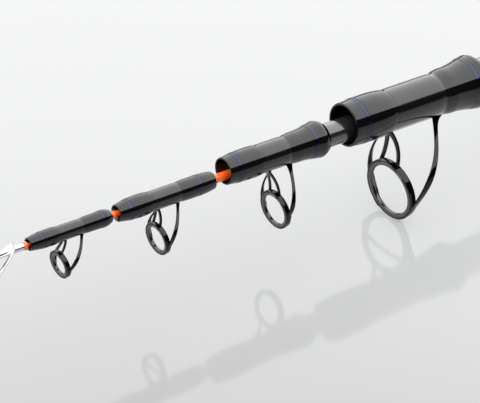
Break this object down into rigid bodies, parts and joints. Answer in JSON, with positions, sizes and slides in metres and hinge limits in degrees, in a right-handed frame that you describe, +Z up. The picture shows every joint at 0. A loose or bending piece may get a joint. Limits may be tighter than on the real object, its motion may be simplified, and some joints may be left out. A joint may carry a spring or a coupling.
{
  "type": "telescopic fishing rod",
  "caption": "Telescopic fishing rod with tapered sections that slide into one another, hanging line guides, a screw reel seat, foam grips and a screw-off butt cap.",
  "frame": {"origin": "on the handle's axis, at the middle of the rear grip", "axes": "+X along the rod towards the tip, +Z up, the line guides hang towards -Z"},
  "size_m": [1.0912, 0.0386, 0.0691],
  "materials": {
    "orange_blank": "gloss lacquer over the carbon blank",
    "grey_blank": "gloss lacquer over the bare carbon blank",
    "black_lacquer": "high gloss black lacquer",
    "thread_wrap": "dark thread wrap under clear lacquer",
    "blue_trim": "blue violet trim thread under lacquer",
    "black_chrome": "polished black chrome plate on pressed steel",
    "ring_ceramic": "polished dark ceramic",
    "bright_chrome": "polished bright chrome plate",
    "foam": "closed cell foam, matt",
    "rubber": "matt rubber",
    "seat_black": "satin black",
    "alloy": "satin anodised alloy"
  },
  "bodies": {
    "butt": {"butt_blank": "black_lacquer", "butt_ferrule": "black_lacquer", "butt_trim": "blue_trim", "front_check": "alloy", "fore_grip": "foam", "seat_arbors": "alloy", "seat_body": "seat_black", "fixed_hood": "alloy", "rear_check": "alloy", "rear_grip": "foam", "end_collar": "alloy", "butt_insert": "alloy", "stop_pad": "rubber"},
    "hood": {"sliding_hood": "alloy"},
    "nut": {"lock_nut": "seat_black"},
    "washer": {"seal_washer": "rubber"},
    "cap": {"butt_cap": "seat_black", "cap_bumper": "rubber"},
    "fifth": {"fifth_blank": "grey_blank", "fifth_ferrule": "black_lacquer", "fifth_guide_wrap": "thread_wrap", "fifth_stop_collar": "black_lacquer", "fifth_trim": "blue_trim", "fifth_guide_frame": "black_chrome", "fifth_guide_ring": "ring_ceramic"},
    "fourth": {"fourth_blank": "grey_blank", "fourth_ferrule": "black_lacquer", "fourth_guide_wrap": "thread_wrap", "fourth_stop_collar": "black_lacquer", "fourth_trim": "blue_trim", "fourth_guide_frame": "black_chrome", "fourth_guide_ring": "ring_ceramic"},
    "third": {"third_blank": "orange_blank", "third_ferrule": "black_lacquer", "third_guide_wrap": "thread_wrap", "third_stop_collar": "black_lacquer", "third_trim": "blue_trim", "third_guide_frame": "black_chrome", "third_guide_ring": "ring_ceramic"},
    "second": {"second_blank": "orange_blank", "second_ferrule": "black_lacquer", "second_guide_wrap": "thread_wrap", "second_stop_collar": "black_lacquer", "second_trim": "blue_trim", "second_guide_frame": "black_chrome", "second_guide_ring": "ring_ceramic", "second_sleeve": "orange_blank"},
    "tip": {"tip_blank": "orange_blank", "tip_sleeve": "orange_blank", "tip_top_tube": "bright_chrome", "tip_top_frame": "bright_chrome", "tip_top_ring": "ring_ceramic"}
  },
  "joints": [
    {"name": "fifth_slide", "type": "slide", "parent": "butt", "child": "fifth", "axis": [1, 0, 0.003], "range_m": [-0.0297, 0.58]},
    {"name": "fourth_slide", "type": "slide", "parent": "fifth", "child": "fourth", "axis": [1, 0, 0.003], "range_m": [-0.0112, 0.6201]},
    {"name": "third_slide", "type": "slide", "parent": "fourth", "child": "third", "axis": [1, 0, 0.003], "range_m": [-0.0055, 0.6302]},
    {"name": "second_slide", "type": "slide", "parent": "third", "child": "second", "axis": [1, 0, 0.0002], "range_m": [-0.0027, 0.6414]},
    {"name": "tip_slide", "type": "slide", "parent": "second", "child": "tip", "axis": [1, 0, 0.0002], "range_m": [-0.0002, 0.6689]},
    {"name": "hood_slide", "type": "slide", "parent": "butt", "child": "hood", "axis": [1, 0, 0], "range_m": [-0.012, 0.026]},
    {"name": "nut_turn", "type": "hinge", "parent": "hood", "child": "nut", "pos_m": [0.22905, 0, 0], "axis": [1, 0, 0], "range_deg": [-1450, 3130]},
    {"name": "cap_slide", "type": "slide", "parent": "butt", "child": "washer", "axis": [1, 0, 0], "range_m": [-0.02, 0]},
    {"name": "cap_turn", "type": "hinge", "parent": "washer", "child": "cap", "pos_m": [-0.155, 0, 0], "axis": [1, 0, 0], "range_deg": [-3610, 10]}
  ],
  "couplings": [
    {"joint": "nut_turn", "follows": "hood_slide", "rad_per_m": 2094.4},
    {"joint": "cap_turn", "follows": "cap_slide", "rad_per_m": 3141.6}
  ]
}
